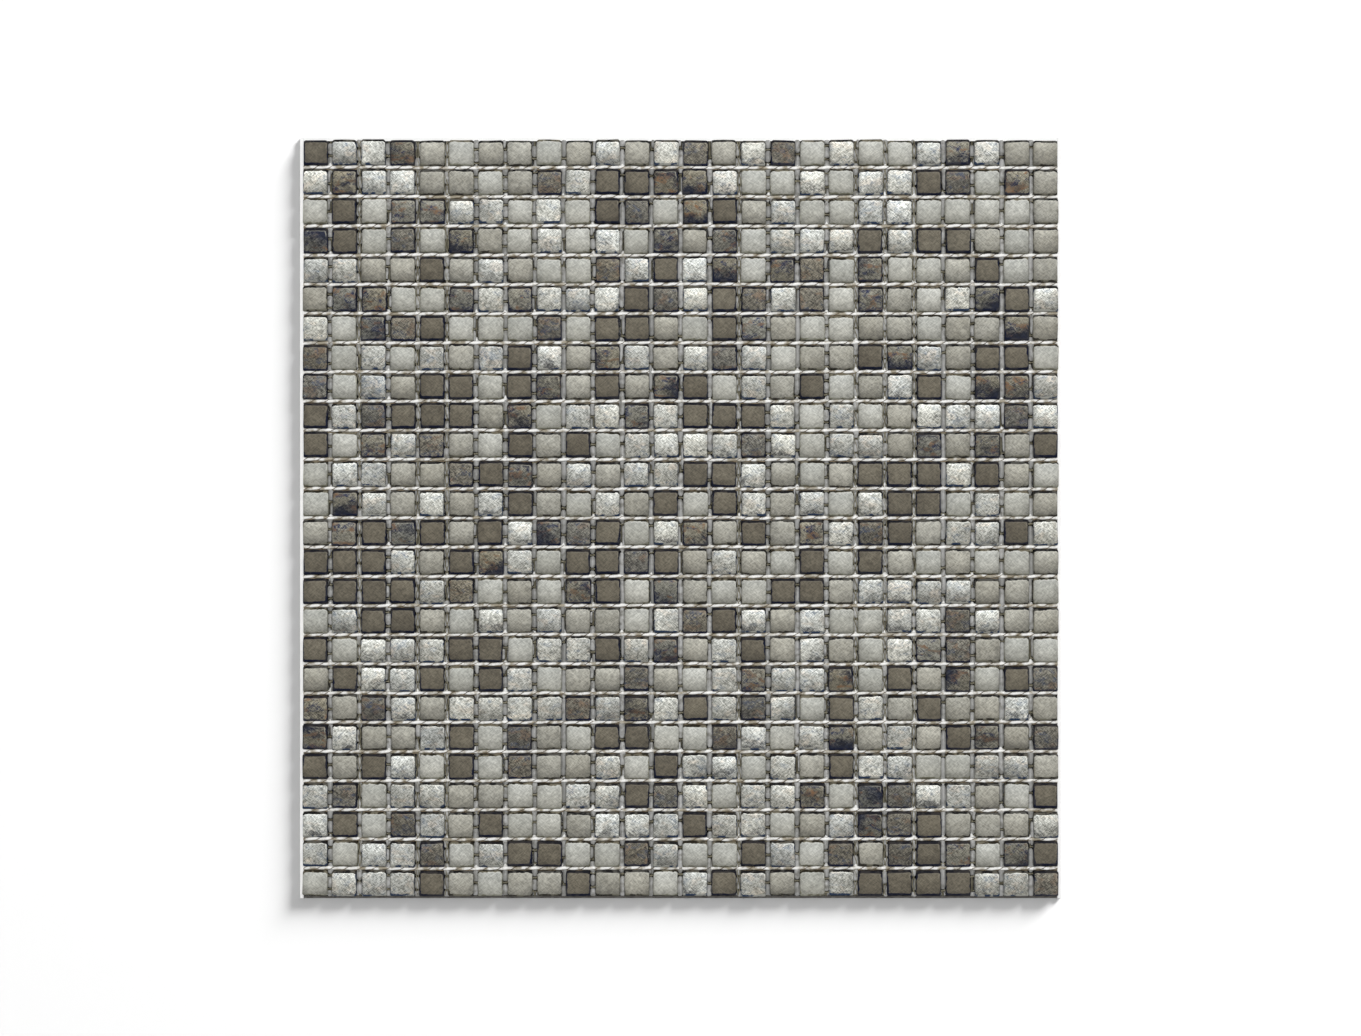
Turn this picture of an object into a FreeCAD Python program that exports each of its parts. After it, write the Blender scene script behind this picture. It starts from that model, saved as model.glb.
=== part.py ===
import FreeCAD, Part
import Sketcher
import os
import random

# Mosaic tile sheet: small square glazed tiles, laid by hand with open joints on a glass yarn net.
# Millimetres, +Z up. The origin is the middle of the sheet, on the face that the net rests on.

doc = FreeCAD.newDocument("mosaic_tile_sheet")

# Driving sizes: name, value, what it measures
SIZES = (
    ("tile_side", 10.0, "one square tile, over its sides"),
    ("tile_thickness", 4.0, "tile from its back to its glazed face"),
    ("bevel_run", 0.8, "soft edge, measured in over the face"),
    ("bevel_drop", 0.45, "soft edge, measured down the side"),
    ("joint", 1.5, "open joint between two tiles"),
    ("tiles_across", 26, "tiles in each row and in each column"),
    ("stray_share", 0.16, "how far a tile strays from its place, as a share of the joint"),
    ("twist_limit", 1.6, "how far a tile is turned out of line, in degrees"),
    ("yarn_width", 1.0, "flat yarn of the net, across"),
    ("yarn_thickness", 0.3, "flat yarn of the net, through"),
    ("yarns_per_tile", 2, "yarns in each tile's width: one at the joint, one under the middle"),
)

# Finishes of the mix and how many of every hundred tiles have each
MIX = (
    ("pale_grey_tiles", 20),
    ("warm_grey_tiles", 19),
    ("dark_taupe_tiles", 18),
    ("silver_tiles", 27),
    ("smoked_tiles", 9),
    ("speckled_tiles", 7),
)

# Starting number of the draw that mixes the finishes and strays the tiles
LAYING_SEED = 26


def sizes_sheet():
    """Spreadsheet of the driving sizes, one aliased cell each."""
    sheet = doc.addObject("Spreadsheet::Sheet", "Sizes")
    for row, (name, value, meaning) in enumerate(SIZES, start=1):
        sheet.set(f"A{row}", name)
        sheet.set(f"B{row}", str(value))
        sheet.set(f"C{row}", meaning)
        sheet.setAlias(f"B{row}", name)
    doc.recompute()
    return sheet


def origin_feature(body, role):
    """Origin plane or axis of a body, such as XY_Plane or Y_Axis."""
    return next(each for each in body.Origin.OriginFeatures if each.Role == role)


def rectangle_sketch(body, name, along_x, along_y):
    """Sketch of a rectangle centred on the body's origin, its two sides bound to expressions."""
    sketch = body.newObject("Sketcher::SketchObject", name)
    sketch.AttachmentSupport = [(origin_feature(body, "XY_Plane"), "")]
    sketch.MapMode = "FlatFace"
    corners = [FreeCAD.Vector(x, y, 0) for x, y in ((-1, -1), (1, -1), (1, 1), (-1, 1))]
    for index, corner in enumerate(corners):
        sketch.addGeometry(Part.LineSegment(corner, corners[(index + 1) % 4]), False)
    for index in range(4):
        sketch.addConstraint(Sketcher.Constraint("Coincident", index, 2, (index + 1) % 4, 1))
    for index in (0, 2):
        sketch.addConstraint(Sketcher.Constraint("Horizontal", index))
    for index in (1, 3):
        sketch.addConstraint(Sketcher.Constraint("Vertical", index))
    sketch.addConstraint(Sketcher.Constraint("Symmetric", 0, 1, 2, 1, -1, 1))
    for label, line, first, second, size in (
        ("DistanceX", 0, 1, 2, along_x),
        ("DistanceY", 1, 1, 2, along_y),
    ):
        index = sketch.addConstraint(Sketcher.Constraint(label, line, first, line, second, 2.0))
        sketch.setExpression(f"Constraints[{index}]", size)
    return sketch


def pad_sketch(body, sketch, name, height):
    """Pad of a sketch, upwards, its height bound to an expression."""
    pad = body.newObject("PartDesign::Pad", name)
    pad.Profile = sketch
    pad.setExpression("Length", height)
    return pad


def single_tile():
    """One pressed tile, back down at z = 0, with the soft edge round its glazed face."""
    body = doc.addObject("PartDesign::Body", "Tile")
    body.Label = "tile"
    outline = rectangle_sketch(body, "TileOutline", "Sizes.tile_side", "Sizes.tile_side")
    block = pad_sketch(body, outline, "TileBlock", "Sizes.tile_thickness")
    doc.recompute()
    faces = block.Shape.Faces
    top = max(range(len(faces)), key=lambda index: faces[index].CenterOfMass.z)
    soft_edge = body.newObject("PartDesign::Chamfer", "SoftEdge")
    soft_edge.Base = (block, [f"Face{top + 1}"])
    soft_edge.ChamferType = "Two distances"
    soft_edge.setExpression("Size", "Sizes.bevel_drop")
    soft_edge.setExpression("Size2", "Sizes.bevel_run")
    body.Tip = soft_edge
    doc.recompute()
    return body


def yarn_layer(label, runs_along_x, level):
    """One layer of the net: parallel flat yarns, from one edge joint of the sheet to the other."""
    body = doc.addObject("PartDesign::Body", "".join(word.capitalize() for word in label.split("_")))
    body.Label = label
    body.AllowCompound = True
    span = "Sizes.tiles_across * (Sizes.tile_side + Sizes.joint)"
    length = f"{span} + Sizes.yarn_width"
    if runs_along_x:
        yarn = rectangle_sketch(body, f"{body.Name}Yarn", length, "Sizes.yarn_width")
        across, offset = "Y_Axis", "AttachmentOffset.Base.y"
    else:
        yarn = rectangle_sketch(body, f"{body.Name}Yarn", "Sizes.yarn_width", length)
        across, offset = "X_Axis", "AttachmentOffset.Base.x"
    yarn.setExpression(offset, f"-({span}) / 2")
    first = pad_sketch(body, yarn, f"{body.Name}First", "Sizes.yarn_thickness")
    doc.recompute()
    rest = body.newObject("PartDesign::LinearPattern", f"{body.Name}Pattern")
    rest.Originals = [first]
    rest.Direction = (origin_feature(body, across), [""])
    rest.setExpression("Length", span)
    rest.setExpression("Occurrences", "Sizes.tiles_across * Sizes.yarns_per_tile + 1")
    body.Tip = rest
    body.setExpression("Placement.Base.z", level)
    doc.recompute()
    return body


def finishes_in_laying_order(count, draw):
    """The mix for a sheet of count tiles, shuffled into the order in which they are laid."""
    names = []
    shares_so_far = 0
    total = sum(share for _, share in MIX)
    for name, share in MIX:
        shares_so_far += share
        names += [name] * (round(count * shares_so_far / total) - len(names))
    draw.shuffle(names)
    return names


def laid_tiles(sheet, tile):
    """A compound for each finish: copies of the tile, each a little off its place and out of line."""
    across = int(sheet.tiles_across)
    pitch = sheet.tile_side + sheet.joint
    stray = sheet.stray_share * sheet.joint
    draw = random.Random(LAYING_SEED)
    finishes = finishes_in_laying_order(across * across, draw)
    copies = {name: [] for name, _ in MIX}
    for index, finish in enumerate(finishes):
        row, column = divmod(index, across)
        place = FreeCAD.Vector(
            (column - (across - 1) / 2) * pitch + draw.uniform(-stray, stray),
            (row - (across - 1) / 2) * pitch + draw.uniform(-stray, stray),
            0,
        )
        twist = draw.triangular(-sheet.twist_limit, sheet.twist_limit)
        copy = tile.Shape.copy()
        copy.Placement = FreeCAD.Placement(place, FreeCAD.Rotation(FreeCAD.Vector(0, 0, 1), twist))
        copies[finish].append(copy)
    fields = []
    for name, shapes in copies.items():
        field = doc.addObject("Part::Feature", "".join(word.capitalize() for word in name.split("_")))
        field.Label = name
        field.Shape = Part.Compound(shapes)
        field.setExpression("Placement.Base.z", "2 * Sizes.yarn_thickness")
        fields.append(field)
    doc.recompute()
    return fields


def check(parts):
    """Stop if any object of the document failed, or a part's shape is missing or faulty."""
    failed = [each.Label for each in doc.Objects if {"Invalid", "Error"} & set(each.State)]
    if failed:
        raise RuntimeError(f"not built: {failed}")
    for part in parts:
        if part.Shape.isNull() or not part.Shape.isValid() or not part.Shape.Solids:
            raise RuntimeError(f"{part.Label} has no sound shape")


def write(parts):
    """One STEP file for each part, named by its label."""
    os.makedirs("parts", exist_ok=True)
    for part in parts:
        part.Shape.exportStep(f"parts/{part.Label}.step")
        box = part.Shape.BoundBox
        print(part.Label, len(part.Shape.Solids), "solids", box)


sheet = sizes_sheet()
tile = single_tile()
net = [
    yarn_layer("net_weft", True, "0"),
    yarn_layer("net_warp", False, "Sizes.yarn_thickness"),
]
parts = net + laid_tiles(sheet, tile)
check(parts)
write(parts)
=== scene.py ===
"""Looks of the mosaic tile sheet: glazed tiles on a glass yarn net, lying on a white table.

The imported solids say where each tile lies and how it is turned. Each finish gets its own crowned
and glazed tile, and the plain yarns become twisted cords, woven ribbons and the glue that fills
the joints. Metres, +Z up, in the frame of the solids.
"""

from __future__ import annotations

import logging
import math
from dataclasses import dataclass, replace
from enum import Enum
from typing import Any

import bpy
import numpy as np
from bpy.types import Material, NodeSocket, NodeTree, Object
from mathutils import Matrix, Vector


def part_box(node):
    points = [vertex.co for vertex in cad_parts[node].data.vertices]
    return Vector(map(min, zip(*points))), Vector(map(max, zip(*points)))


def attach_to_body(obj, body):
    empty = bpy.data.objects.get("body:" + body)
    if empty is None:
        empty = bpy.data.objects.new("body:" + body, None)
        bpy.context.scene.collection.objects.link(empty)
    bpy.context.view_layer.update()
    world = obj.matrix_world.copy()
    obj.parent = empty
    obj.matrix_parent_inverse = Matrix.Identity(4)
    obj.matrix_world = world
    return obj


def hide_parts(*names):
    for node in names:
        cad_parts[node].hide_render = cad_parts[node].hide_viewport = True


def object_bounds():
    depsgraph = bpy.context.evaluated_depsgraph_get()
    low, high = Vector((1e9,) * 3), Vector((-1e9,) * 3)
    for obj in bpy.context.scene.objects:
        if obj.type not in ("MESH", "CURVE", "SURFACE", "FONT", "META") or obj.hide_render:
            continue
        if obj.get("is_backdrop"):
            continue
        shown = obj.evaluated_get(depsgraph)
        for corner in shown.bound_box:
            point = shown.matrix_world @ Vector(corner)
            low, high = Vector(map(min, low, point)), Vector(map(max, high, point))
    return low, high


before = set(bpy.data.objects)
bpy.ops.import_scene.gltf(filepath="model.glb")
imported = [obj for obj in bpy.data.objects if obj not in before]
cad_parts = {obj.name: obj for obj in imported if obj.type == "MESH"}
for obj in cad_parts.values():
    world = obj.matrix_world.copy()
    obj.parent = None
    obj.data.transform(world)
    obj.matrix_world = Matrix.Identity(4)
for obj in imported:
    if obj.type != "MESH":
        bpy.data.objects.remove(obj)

MM = 0.001
ROOT = "root"
WEFT_NODE = "net_weft"
WARP_NODE = "net_warp"

# A tile's side, as a share of the distance from one tile to the next
TILE_SHARE = 10.0 / 11.5
# Height of the finest relief, in glazes and coatings alike
RELIEF_DEPTH = 0.05 * MM

Colour = tuple[float, float, float]
Point = tuple[float, float, float]

log = logging.getLogger("mosaic")


# Node wiring


@dataclass(frozen=True)
class Value:
    """An output of a node, on which arithmetic adds Math nodes to its tree."""

    wires: Wiring
    socket: NodeSocket

    def maths(self, operation: str, *others: Any) -> Value:
        """Result of a Math node on this number and others."""
        return self.wires.value("ShaderNodeMath", dict(enumerate((self, *others))), operation=operation)

    def __add__(self, other: Any) -> Value:
        """This number plus another."""
        return self.maths("ADD", other)

    def __sub__(self, other: Any) -> Value:
        """This number less another."""
        return self.maths("SUBTRACT", other)

    def __rsub__(self, other: float) -> Value:
        """A plain number less this one."""
        return self.wires.value("ShaderNodeMath", {0: other, 1: self}, operation="SUBTRACT")

    def __mul__(self, other: Any) -> Value:
        """This number times another."""
        return self.maths("MULTIPLY", other)

    def __abs__(self) -> Value:
        """This number without its sign."""
        return self.maths("ABSOLUTE")

    def vector(self, operation: str, other: Any, output: int | str = 0) -> Value:
        """Result of a Vector Math node on this vector and another."""
        return self.wires.value("ShaderNodeVectorMath", {0: self, 1: other}, output, operation=operation)

    def ramp(self, low: float, high: float) -> Value:
        """0 where this number is at low, 1 at high, eased and kept between."""
        inputs = {"Value": self, "From Min": low, "From Max": high}
        return self.wires.value("ShaderNodeMapRange", inputs, interpolation_type="SMOOTHSTEP")

    def spread(self, low: Any, high: Any) -> Value:
        """This number, from 0 to 1, laid out between low and high."""
        return self.wires.value("ShaderNodeMapRange", {"Value": self, "To Min": low, "To Max": high})

    def blend(self, first: Any, second: Any) -> Value:
        """Mix of two colours: the first where this number is 0, the second at 1."""
        start, end = ((*each, 1.0) if isinstance(each, tuple) else each for each in (first, second))
        return self.wires.value("ShaderNodeMix", {0: self, 6: start, 7: end}, 2, data_type="RGBA")


@dataclass(frozen=True)
class Wiring:
    """The nodes of one tree."""

    tree: NodeTree

    def feed(self, node: Any, inputs: dict) -> Any:
        """Set or link the inputs of a node.

        Args:
            node: The node.
            inputs: Socket name or number to a plain value, or to the value that feeds it.

        Returns:
            The same node.
        """
        for name, value in inputs.items():
            if isinstance(value, Value):
                self.tree.links.new(value.socket, node.inputs[name])
            else:
                node.inputs[name].default_value = value
        return node

    def node(self, kind: str, inputs: dict | None = None, **settings: Any) -> Any:
        """Add a node.

        Args:
            kind: The kind of node.
            inputs: Its inputs, as feed takes them.
            settings: Its own settings by name.

        Returns:
            The node.
        """
        node = self.tree.nodes.new(kind)
        for name, value in settings.items():
            setattr(node, name, value)
        return self.feed(node, inputs or {})

    def value(self, kind: str, inputs: dict | None = None, output: int | str = 0, **settings: Any) -> Value:
        """Add a node and take one of its outputs."""
        return Value(self, self.node(kind, inputs, **settings).outputs[output])

    def combine(self, x: Any, y: Any, z: Any) -> Value:
        """A vector of three numbers."""
        return self.value("ShaderNodeCombineXYZ", {0: x, 1: y, 2: z})

    def scaled(self, vector: Any, factor: Any) -> Value:
        """A vector or colour times a number."""
        return self.value("ShaderNodeVectorMath", {0: vector, "Scale": factor}, operation="SCALE")

    def noise(self, place: Value, scale: Any, detail: float, output: int | str = 0, **inputs: Any) -> Value:
        """Noise at a place, with a dimension more where W is given.

        Args:
            place: The place, in millimetres.
            scale: Waves to a millimetre.
            detail: Number of finer layers.
            output: The output that is taken.
            inputs: Other inputs of the node by name.

        Returns:
            The noise.
        """
        inputs |= {"Vector": place, "Scale": scale, "Detail": detail}
        dimensions = "4D" if "W" in inputs else "3D"
        return self.value("ShaderNodeTexNoise", inputs, output, noise_dimensions=dimensions)

    def attribute(self, name: str, output: str = "Fac") -> Value:
        """Attribute of the mesh, in a material."""
        return self.value("ShaderNodeAttribute", output=output, attribute_name=name)

    def millimetres(self, stretch: Point = (1.0, 1.0, 1.0)) -> Value:
        """Place on the sheet in millimetres, in a material, with each axis stretched."""
        place = self.value("ShaderNodeTexCoord", output="Object")
        return place.vector("MULTIPLY", tuple(part / MM for part in stretch))

    def bump(self, height: Value, strength: float) -> Value:
        """Normal of the finest relief."""
        inputs = {"Strength": strength, "Distance": RELIEF_DEPTH, "Height": height}
        return self.value("ShaderNodeBump", inputs)

    def group(self, tree: NodeTree, inputs: dict) -> dict[str, Value]:
        """Add a shader group and take its outputs by name."""
        node = self.node("ShaderNodeGroup", inputs, node_tree=tree)
        return {socket.name: Value(self, socket) for socket in node.outputs}

    def dress(self, shape: Value, material: Value) -> NodeTree:
        """End a Geometry Nodes tree with its shape in a material."""
        return self.close(Geometry=self.value("GeometryNodeSetMaterial", {0: shape, "Material": material}))

    def close(self, **made: Value) -> NodeTree:
        """End a node group.

        Args:
            made: Its outputs by name, with an underline for each space.

        Returns:
            The finished group.
        """
        named = {name.replace("_", " "): value for name, value in made.items()}
        kinds = {"VALUE": "NodeSocketFloat", "VECTOR": "NodeSocketVector", "GEOMETRY": "NodeSocketGeometry"}
        for name, value in named.items():
            self.tree.interface.new_socket(name, in_out="OUTPUT", socket_type=kinds[value.socket.type])
        self.node("NodeGroupOutput", named)
        return self.tree


def open_group(name: str, kind: str, inputs: dict[str, str]) -> tuple[Wiring, dict[str, Value]]:
    """Start a node group.

    Args:
        name: The group's name.
        kind: Its kind of tree, "Shader" or "Geometry".
        inputs: Name of each input to the kind of its socket, such as "Float".

    Returns:
        The group's wiring and its inputs by name.
    """
    tree = bpy.data.node_groups.new(name, f"{kind}NodeTree")
    for label, socket_kind in inputs.items():
        tree.interface.new_socket(label, in_out="INPUT", socket_type=f"NodeSocket{socket_kind}")
    wires = Wiring(tree)
    given = wires.node("NodeGroupInput").outputs
    return wires, {socket.name: Value(wires, socket) for socket in given if socket.name}


def fields(source: Any, names: tuple[str, ...]) -> dict[str, Any]:
    """Values for named inputs, each from the field of a dataclass that has the input's name."""
    return {name: getattr(source, name.lower().replace(" ", "_")) for name in names}


def new_material(name: str) -> tuple[Material, Wiring, Any]:
    """Start a material.

    Args:
        name: The material's name.

    Returns:
        The material, its wiring and its Principled shader.
    """
    made = bpy.data.materials.new(name)
    made.use_nodes = True
    return made, Wiring(made.node_tree), made.node_tree.nodes["Principled BSDF"]


# Meshes


def mesh_object(name: str, points: Any, edges: Any = (), faces: Any = ()) -> Object:
    """Make a mesh object at the origin and link it to the scene.

    Args:
        name: The object's name.
        points: Places of its points.
        edges: The points of each loose edge, by number.
        faces: The points of each face, by number, anticlockwise from outside.

    Returns:
        The object.
    """
    mesh = bpy.data.meshes.new(name)
    mesh.from_pydata(points, edges, faces)
    mesh.update()
    thing = bpy.data.objects.new(name, mesh)
    bpy.context.scene.collection.objects.link(thing)
    return thing


def write_attributes(thing: Object, **attributes: Any) -> None:
    """Store attributes of a mesh's points.

    Args:
        thing: The mesh object.
        attributes: One number or one vector for every point, by the attribute's name.
    """
    for name, values in attributes.items():
        array = np.asarray(values, np.float32)
        kind, key = ("FLOAT", "value") if array.ndim == 1 else ("FLOAT_VECTOR", "vector")
        thing.data.attributes.new(name, kind, "POINT").data.foreach_set(key, array.ravel())


def grow(thing: Object, tree: NodeTree, values: dict[str, Any]) -> Object:
    """Run a Geometry Nodes tree on an object and keep the result as its plain mesh.

    Args:
        thing: The object that carries the points or lines.
        tree: The Geometry Nodes tree.
        values: The tree's named inputs.

    Returns:
        The same object.
    """
    modifier = thing.modifiers.new(tree.name, "NODES")
    modifier.node_group = tree
    for item in tree.interface.items_tree:
        if item.in_out == "INPUT" and item.name in values:
            modifier[item.identifier] = values[item.name]
    depsgraph = bpy.context.evaluated_depsgraph_get()
    shown = thing.evaluated_get(depsgraph)
    mesh = bpy.data.meshes.new_from_object(shown, preserve_all_data_layers=True, depsgraph=depsgraph)
    thing.modifiers.clear()
    thing.data = mesh
    return thing


def joined(name: str, things: list[Object]) -> Object:
    """Join several plain meshes into one piece, which keeps their materials.

    Args:
        name: The piece's name.
        things: The meshes.

    Returns:
        The piece.
    """
    with bpy.context.temp_override(active_object=things[0], selected_editable_objects=things):
        bpy.ops.object.join()
    things[0].name = name
    return things[0]


def stacked(outline: list[tuple[float, float]], levels: tuple[Point, ...]) -> list[list[Point]]:
    """Rings of one outline, each scaled along X and Y and set at a height."""
    return [[(x * wide, y * long, height) for x, y in outline] for wide, long, height in levels]


def ringed_mesh(name: str, rings: list[list[Point]], peak: Point | None = None) -> Object:
    """A closed solid of stacked rings, with a flat back and a flat or peaked face.

    Args:
        name: The object's name.
        rings: Rings of equally many points, anticlockwise from above, from the back up.
        peak: The point that the face rises to, or None for a flat face.

    Returns:
        The object, shaded smooth apart from its back.
    """
    count = len(rings[0])
    points = [point for ring in rings for point in ring]
    faces = [tuple(reversed(range(count)))]
    for low in range(0, len(points) - count, count):
        for index in range(count):
            following = (index + 1) % count
            faces.append((low + index, low + following, low + count + following, low + count + index))
    top = len(points) - count
    if peak is None:
        faces.append(tuple(range(top, top + count)))
    else:
        points.append(peak)
        for index in range(0, count, 2):
            faces.append((len(points) - 1, top + index, top + index + 1, top + (index + 2) % count))
    thing = mesh_object(name, points, (), faces)
    thing.data.polygons.foreach_set("use_smooth", [index > 0 for index in range(len(faces))])
    return thing


def attach(piece: Object, node: str | None = None) -> None:
    """Hang a piece on the sheet and report it.

    Args:
        piece: The piece.
        node: The node of the solids that it stands for, if any.
    """
    if node:
        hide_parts(node)
    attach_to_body(piece, ROOT)
    log.info("%s: %d faces", piece.name, len(piece.data.polygons))


# Geometry Nodes trees

# Inputs of the tree that spins yarns, each set from the field of a strand that has its name
WINDINGS = ("Turn Length", "Sideways", "Upwards", "Width", "Flatness", "Roll", "Swell")


def placing_tree() -> NodeTree:
    """Tree that sets a copy of a template on each point, by the points' "turn" and "size".

    Returns:
        The tree.
    """
    wires, given = open_group("Set pieces in place", "Geometry", {
        "Geometry": "Geometry",
        "Template": "Object",
        "Ripple": "Float",
        "Ripple Scale": "Float",
        "Seed": "Float",
        "Material": "Material",
    })
    named = "GeometryNodeInputNamedAttribute"
    turn = wires.value(named, {"Name": "turn"}, data_type="FLOAT")
    copies = wires.value("GeometryNodeInstanceOnPoints", {
        "Points": given["Geometry"],
        "Instance": wires.value("GeometryNodeObjectInfo", {"Object": given["Template"]}, "Geometry"),
        "Rotation": wires.combine(0.0, 0.0, turn),
        "Scale": wires.value(named, {"Name": "size"}, data_type="FLOAT_VECTOR"),
    })
    real = wires.value("GeometryNodeRealizeInstances", {0: copies})
    place = wires.scaled(wires.value("GeometryNodeInputPosition"), 1 / MM)
    noise = wires.noise(place, given["Ripple Scale"], 1.0, "Color", W=given["Seed"])
    push = noise.vector("SUBTRACT", (0.5, 0.5, 0.5)).vector("MULTIPLY", (1.0, 1.0, 0.0))
    offset = wires.scaled(push, given["Ripple"])
    return wires.dress(
        wires.value("GeometryNodeSetPosition", {0: real, "Offset": offset}), given["Material"]
    )


def yarn_tree() -> NodeTree:
    """Tree that makes one ply along each line, wound round it in a helix from the line's "phase".

    Returns:
        The tree.
    """
    wires, given = open_group("Spin yarns", "Geometry", {
        "Geometry": "Geometry",
        "Step": "Float",
        **dict.fromkeys(WINDINGS, "Float"),
        "Sides": "Int",
        "Material": "Material",
    })
    lines = wires.value("GeometryNodeMeshToCurve", {0: given["Geometry"]})
    smooth = wires.value("GeometryNodeCurveSplineType", {0: lines}, spline_type="CATMULL_ROM")
    inputs = {"Curve": smooth, "Length": given["Step"]}
    dense = wires.value("GeometryNodeResampleCurve", inputs, mode="LENGTH")
    level = wires.value("GeometryNodeSetCurveNormal", {0: dense}, mode="Z_UP")
    along = wires.value("GeometryNodeSplineParameter", output="Length")
    start = wires.value("GeometryNodeInputNamedAttribute", {"Name": "phase"}, data_type="FLOAT")
    angle = start - along.maths("DIVIDE", given["Turn Length"]) * math.tau
    left = wires.value("GeometryNodeInputTangent").vector("CROSS_PRODUCT", (0.0, 0.0, -1.0))
    aside = wires.scaled(left, angle.maths("COSINE") * given["Sideways"])
    rise = wires.combine(0.0, 0.0, angle.maths("SINE") * given["Upwards"])
    path = wires.value("GeometryNodeSetPosition", {0: level, "Offset": aside.vector("ADD", rise)})
    place = wires.scaled(wires.value("GeometryNodeInputPosition"), 1 / MM)
    bulge = (wires.noise(place, 0.3, 1.0) - 0.5) * given["Swell"] + 1.0
    swollen = wires.value("GeometryNodeSetCurveRadius", {"Curve": path, "Radius": bulge})
    sizes = {"Resolution": given["Sides"], "Radius": given["Width"] * 0.5}
    section = wires.value("GeometryNodeCurvePrimitiveCircle", sizes)
    for label, change in (
        ("Rotation", wires.combine(0.0, 0.0, given["Roll"])),
        ("Scale", wires.combine(1.0, given["Flatness"], 1.0)),
    ):
        section = wires.value("GeometryNodeTransform", {0: section, label: change})
    inputs = {"Curve": swollen, "Profile Curve": section, "Fill Caps": True}
    ply = wires.value("GeometryNodeCurveToMesh", inputs)
    real = wires.value("GeometryNodeRealizeInstances", {0: ply})
    soft = wires.value("GeometryNodeSetShadeSmooth", {0: real, "Shade Smooth": True})
    return wires.dress(soft, given["Material"])


# Shader groups

# Inputs of the tile map, each set from the field of a glaze that has its name
GRADES = (
    "Edge", "Foot Edge", "Head Edge", "Run", "Fall", "Foot Fall", "Facet", "Crown", "Lean", "Cool", "Hue",
)
# Averages over a tile of its foot, its foot facet, its flanks and its height, which are taken off
# there so that only the spread of the painted light and shade changes and not its mean
FOOT_MEAN = 0.19
FACET_MEAN = 0.17
FLANK_MEAN = 0.29
UP_MEAN = 0.27
# How far the cast, a painted cool reflection towards the head with a random hue per tile, takes red down and
# blue up
RED_CAST = -0.35
BLUE_CAST = 0.65


def tile_map_group() -> NodeTree:
    """Group that tells where on its tile a point lies: dark edge, light line, patch or bare back.

    Its shade is painted light and shade, as if light from above the head fell on a domed tile: 1 on
    average, more towards the head, and less at the foot and on the left and right, with a random lean
    from tile to tile.

    Returns:
        The group.
    """
    wires, given = open_group("Where on the tile", "Shader", dict.fromkeys(GRADES, "Float"))
    place = wires.attribute("on_tile", "Vector")
    parts = wires.node("ShaderNodeSeparateXYZ", {0: place}).outputs
    across, up, run = (Value(wires, part) for part in parts)
    draw = wires.attribute("draw")
    tilt = place.vector("DOT_PRODUCT", wires.attribute("lean", "Vector"), "Value")
    where = wires.millimetres()
    # The dark side glaze reaches further in at the foot, as painted shade, and at the head, as painted shadow
    # under the cord
    foot = up.ramp(-0.72, -0.84) * given["Foot Edge"]
    head = up.ramp(0.72, 0.84) * given["Head Edge"]
    thicker = tilt.maths("MAXIMUM", 0.0) * given["Run"]
    waved = run + wires.noise(where, 0.6, 2.0) * 1.4 - 0.7
    inside = waved - (given["Edge"] + thicker + foot + head)
    # Painted highlight: a thin bright line inside the edge, along the top and the right
    lit = (across * 0.35 + up).ramp(0.5, 0.8)
    steep = abs(up) - abs(across)
    below = up.maths("LESS_THAN", 0.0)
    # Painted light and shade of the face: brighter at the head, darker at the foot, on the foot facet and on
    # the flanks, and tilted at random from tile to tile
    at_foot = FOOT_MEAN - up.ramp(-0.1, -0.95)
    on_facet = (FACET_MEAN - steep.ramp(0.0, 0.3) * below) * (draw * 2.4 - 0.2)
    on_flank = FLANK_MEAN - abs(across).ramp(0.35, 0.85)
    shade = up * given["Fall"] + at_foot * given["Foot Fall"] + on_facet * given["Facet"] + 1.0
    shade = shade + on_flank * given["Crown"] + tilt * given["Lean"]
    # Painted cool reflection, stronger towards the head, and a random hue from tile to tile
    cool = (up - UP_MEAN) * given["Cool"] + (draw - 0.5) * given["Hue"]
    return wires.close(
        Side=inside.ramp(0.1, -0.1),
        Light_Line=abs(inside - 0.38).ramp(0.34, 0.0) * lit,
        Patch=wires.noise(where, 0.35, 2.0).ramp(0.42, 0.56),
        Bare=run.ramp(-2.6, -2.75),
        Up=up,
        Tilt=tilt,
        Shade=shade,
        Draw=draw,
        Tone=wires.attribute("tone"),
        Cast=wires.combine(cool * RED_CAST + 1.0, 1.0, cool * BLUE_CAST + 1.0),
    )


def fleck_group() -> NodeTree:
    """Group of fine flecks that run along both diagonals of a tile, 0 to 1.

    Returns:
        The group.
    """
    wires, given = open_group("Diagonal flecks", "Shader", {"Scale": "Float", "Draw": "Float"})
    place = wires.millimetres((0.94, 1.06, 1.0))
    flecks = []
    for degrees in (45.0, -45.0):
        inputs = {"Vector": place, "Angle": math.radians(degrees)}
        turned = wires.value("ShaderNodeVectorRotate", inputs, rotation_type="Z_AXIS")
        long = turned.vector("MULTIPLY", (1.0, 4.0, 1.0))
        which = given["Draw"] * (57.0 + degrees)
        flecks.append(wires.noise(long, given["Scale"], 1.0, W=which, Roughness=0.6))
    total = (flecks[0] + flecks[1]) * 0.5
    inputs = {"Value": total, "From Min": 0.38, "From Max": 0.62}
    return wires.close(Value=wires.value("ShaderNodeMapRange", inputs))


def cloud_group() -> NodeTree:
    """Group of soft clouds, wider than high, that differ from tile to tile, 0 to 1.

    Returns:
        The group.
    """
    wires, given = open_group("Soft clouds", "Shader", dict.fromkeys(("Scale", "Draw", "Kind"), "Float"))
    place = wires.millimetres((0.75, 1.4, 1.0))
    which = given["Draw"] * 91.0 + given["Kind"]
    noise = wires.noise(place, given["Scale"], 3.0, W=which, Roughness=0.55, Distortion=0.6)
    return wires.close(Value=noise.ramp(0.3, 0.7))


# Glazes

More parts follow.
